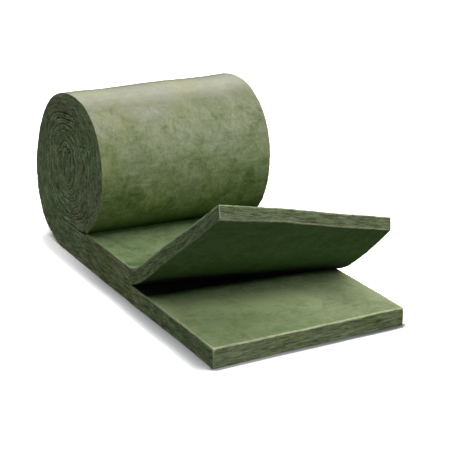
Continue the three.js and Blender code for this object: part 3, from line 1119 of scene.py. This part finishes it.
def cut_look(g, place, uv, grain):
    """The cut faces' colour and height: layers and strands along the mat, broken by dark
    pits and pale fibres, with dark gaps between the turns and a pale lip beside them."""
    tone, calm, gap = g.attribute("tone"), g.attribute("calm"), g.attribute("gap")
    along, through = g.node("ShaderNodeSeparateXYZ", Vector=uv).outputs[:2]
    # the wound turns are crumpled, so their strands wave
    crumpled = g.times(g.attribute("cut"), g.span(along, -2.55, -1.20, 1.0, 0.0))
    waves = g.times(g.less(g.noise(place, 62.0, 2, 0.5), 0.5), crumpled, 0.030)
    waved = g.node("ShaderNodeCombineXYZ", X=along, Y=g.plus(through, waves)).outputs["Vector"]
    strands = g.drawn_out(waved, (24, 190), 5, 0.72, 0.25)
    layers = g.drawn_out(waved, (10, 62), 4, 0.6, 0.3)
    patches = g.noise(place, 9.0, 4, 0.6, 0.5)
    share = g.less(g.blend((strands, 2.2), (layers, 1.0), (patches, 0.35), (grain, 0.55)), 0.5)
    crisp = g.drawn_out(waved, (70, 300), 2, 0.5, shift=(4, 8))
    share = g.plus(share, g.times(g.less(crisp, 0.5), 1.1, crumpled))
    share = g.times(share, g.span(calm, 0.0, 1.0, 1.0, 0.70))
    share = g.plus(share, g.span(calm, 0.0, 1.0, 0.50, 0.44))
    colour = g.ramp(
        share,
        (0.05, 0.052, 0.066, 0.036),
        (0.38, 0.170, 0.198, 0.118),
        (0.60, 0.255, 0.285, 0.178),
        (0.95, 0.44, 0.46, 0.32),
    )
    tint = g.blend((g.noise(place, 9.0, 4, 0.6, 0.8), 1.8))
    hue = g.ramp(
        g.plus(tint, g.times(tone, 0.42)),
        (0.10, 0.80, 0.90, 0.63),
        (0.38, 1.00, 1.01, 0.92),
        (0.62, 0.85, 1.00, 0.82),
        (0.95, 0.75, 1.00, 0.77),
    )
    colour = g.mix(1.0, colour, hue, "MULTIPLY")
    pits = g.span(g.drawn_out(waved, (26, 200), 3, 0.55, 0.3, shift=(3, 7)), 0.57, 0.66)
    pit_depth = g.plus(g.span(calm, 0.0, 1.0, 0.66, 0.50), g.times(crumpled, 0.16))
    colour = g.mix(g.times(pits, pit_depth), colour, (0.034, 0.046, 0.024))
    pale = g.span(g.drawn_out(waved, (18, 170), 4, 0.6, 0.3, shift=(9, 2)), 0.56, 0.63)
    pale_depth = g.plus(g.times(crumpled, 0.28), 0.48)
    colour = g.mix(g.times(pale, pale_depth), colour, (0.37, 0.43, 0.29))
    from_lip = g.math("ABSOLUTE", g.less(gap, 0.0050), 0.0)
    broken = g.span(g.drawn_out(uv, (16, 40), 4, 0.6, shift=(1, 4)), 0.48, 0.62)
    lip = g.times(g.span(from_lip, 0.0005, 0.0022, 1.0, 0.0), broken, 0.60)
    colour = g.mix(lip, colour, (0.42, 0.48, 0.33))
    gap_width = g.span(g.drawn_out(uv, (20, 45), 5, 0.7), 0.40, 0.62, 0.0002, 0.0046)
    in_gap = g.times(g.span(g.closeness(gap, gap_width), 0.0, 0.8), 0.88)
    colour = g.mix(in_gap, colour, (0.020, 0.031, 0.014))
    height = g.blend((strands, 1.2), (layers, 0.8), (grain, 0.3))
    return colour, g.less(height, g.times(pits, 0.6))


def mineral_wool():
    """Green mineral wool: felt on the long faces, layered fibres on the cut ones, and pale lines
    along the borders."""
    material = bpy.data.materials.new("mineral_wool")
    g = Graph(material)
    place = g.node("ShaderNodeTexCoord").outputs["Object"]
    uv = g.node("ShaderNodeUVMap")
    uv.uv_map = "along_and_through"
    uv = uv.outputs["UV"]
    cut = g.attribute("cut")
    grain = g.noise(place, 160.0, 3, 0.6)
    felt, felt_height = felt_look(g, place, uv, grain)
    cut_face, cut_height = cut_look(g, place, uv, grain)
    colour = g.mix(cut, felt, cut_face)
    line_width = g.times(g.noise(place, 60.0, 4, 0.6), g.span(cut, 0.0, 1.0, 0.0098, 0.0080))
    line = g.span(g.closeness(g.attribute("rim"), line_width), 0.0, 0.55)
    broken = g.span(g.noise(place, 14.0, 3, 0.6), 0.35, 0.55, 0.45, 1.0)
    line = g.times(line, g.attribute("wear"), broken)
    colour = g.mix(line, colour, (0.58, 0.63, 0.41))
    height = g.node("ShaderNodeMix", Factor=cut)
    g.feed(height.inputs[2], felt_height)
    g.feed(height.inputs[3], cut_height)
    bump = g.node("ShaderNodeBump", Strength=0.6, Distance=0.004, Height=height.outputs[0])
    shader = g.node(
        "ShaderNodeBsdfPrincipled",
        Base_Color=colour,
        Roughness=0.95,
        Specular_IOR_Level=0.06,
        Normal=bump.outputs["Normal"],
    )
    g.feed(g.surface, shader.outputs["BSDF"])
    return material


# ---------------- the scene
def add_object(name, data):
    """A new object of this mesh, lamp or camera, in the scene."""
    made = bpy.data.objects.new(name, data)
    bpy.context.scene.collection.objects.link(made)
    return made


mat = add_object("wool_mat_soft", make_mat())
mat.data.materials.append(mineral_wool())
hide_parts("wool_mat")
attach(mat, "root")

FLOOR_REACH = 40.0
SHADOW_LEAN = (0.36, 0.65, 0.67)  # the shadow at the foot falls away from this side


def make_floor():
    """A wide floor that takes the shadow. It is seen white but for its shadows, which are
    closer and darker at the object's foot, and it lights the object as a dull grey."""
    mesh = bpy.data.meshes.new("floor")
    around = ((-1, -1), (1, -1), (1, 1), (-1, 1))
    corners = [(x * FLOOR_REACH, y * FLOOR_REACH, 0) for x, y in around]
    mesh.from_pydata(corners, [], [(0, 1, 2, 3)])
    floor = add_object("floor", mesh)
    material = bpy.data.materials.new("white_floor")
    g = Graph(material)
    x, y, z = SHADOW_LEAN
    lean = g.node("ShaderNodeCombineXYZ", X=x, Y=y, Z=z).outputs["Vector"]
    shade = g.ramp(
        g.openness(32, Distance=0.060, Normal=lean),
        (0.30, 0.06, 0.06, 0.066),
        (0.60, 0.24, 0.245, 0.26),
        (0.80, 0.55, 0.555, 0.57),
        (0.92, *WHITE),
    )
    # the shadow is fainter towards the roll
    place = g.node("ShaderNodeTexCoord").outputs["Object"]
    x, y = g.node("ShaderNodeSeparateXYZ", Vector=place).outputs[:2]
    shade = g.mix(g.span(x, -0.5, 0.0, 0.40, 0.80), WHITE, shade)
    # a thin contact shadow from the object's closeness, painted in only in front of the free end
    # and stronger towards the far side
    touch = g.openness(16, Distance=g.span(y, -0.3, 0.3, 0.018, 0.028))
    line = g.ramp(touch, (0.80, 0.13, 0.13, 0.135), (0.97, *WHITE))
    front = g.times(g.span(x, 0.600, 0.618), g.span(y, -0.25, 0.25, 0.80, 1.0))
    shade = g.mix(1.0, shade, g.mix(front, WHITE, line), "MULTIPLY")
    bright = g.mix(1.0, shade, (1.9, 1.9, 1.95), "MULTIPLY")
    white = g.node("ShaderNodeBsdfDiffuse", Color=bright)
    glow = g.node("ShaderNodeEmission", Color=shade, Strength=0.25)
    dull = g.node("ShaderNodeBsdfDiffuse", Color=(0.06, 0.06, 0.06, 1))
    g.show(g.pair("ShaderNodeAddShader", white, glow), dull)
    mesh.materials.append(material)


def add_sun(name, towards, energy, spread, colour):
    """A distant lamp that lights the object from a direction."""
    sun = bpy.data.lights.new(name, "SUN")
    sun.energy = energy
    sun.angle = math.radians(spread)
    sun.color = colour
    lamp = add_object(name, sun)
    x, y, z = towards
    lamp.rotation_euler = (0, math.atan2(math.hypot(x, y), z), math.atan2(y, x))


def make_lights():
    """A wide lamp overhead, a weaker one in front, and an even sky that is white where
    it is seen."""
    add_sun("overhead", (0.14, 0.28, 1.0), 2.6, 75, (1.0, 0.985, 0.95))
    add_sun("front_fill", (1.0, -0.50, 0.45), 1.2, 60, (1.0, 0.99, 0.97))
    world = bpy.data.worlds.new("even_sky")
    bpy.context.scene.world = world
    g = Graph(world, "ShaderNodeOutputWorld")
    faint = g.node("ShaderNodeBackground", Color=(0.95, 0.98, 1.0, 1), Strength=0.04)
    white = g.node("ShaderNodeBackground", Color=(*WHITE, 1), Strength=1.0)
    g.show(white, faint)


CAMERA_PLACE = (2.70541, -1.47221, 1.17290)
CAMERA_AZIMUTH, CAMERA_ELEVATION = 1.04839834, 0.31960259  # of the line of sight
CAMERA_ROLL = 0.01698403  # about it
FOCAL_LENGTH = 83.82  # in mm, on a sensor 36 mm wide


def make_camera():
    """The camera looks back along a line of this azimuth and elevation, rolled a little
    about it."""
    back = np.array(
        [
            math.sin(CAMERA_AZIMUTH) * math.cos(CAMERA_ELEVATION),
            -math.cos(CAMERA_AZIMUTH) * math.cos(CAMERA_ELEVATION),
            math.sin(CAMERA_ELEVATION),
        ]
    )
    level = np.array([math.cos(CAMERA_AZIMUTH), math.sin(CAMERA_AZIMUTH), 0])
    above = np.cross(back, level)
    right = math.cos(CAMERA_ROLL) * level + math.sin(CAMERA_ROLL) * above
    up = -math.sin(CAMERA_ROLL) * level + math.cos(CAMERA_ROLL) * above
    data = bpy.data.cameras.new("camera")
    data.lens = FOCAL_LENGTH
    data.sensor_width = 36
    camera = add_object("camera", data)
    turn = Matrix(np.column_stack([right, up, back]).tolist()).to_4x4()
    camera.matrix_world = Matrix.Translation(CAMERA_PLACE) @ turn
    bpy.context.scene.camera = camera


make_floor()
make_lights()
make_camera()
bpy.context.scene.view_settings.view_transform = "Standard"
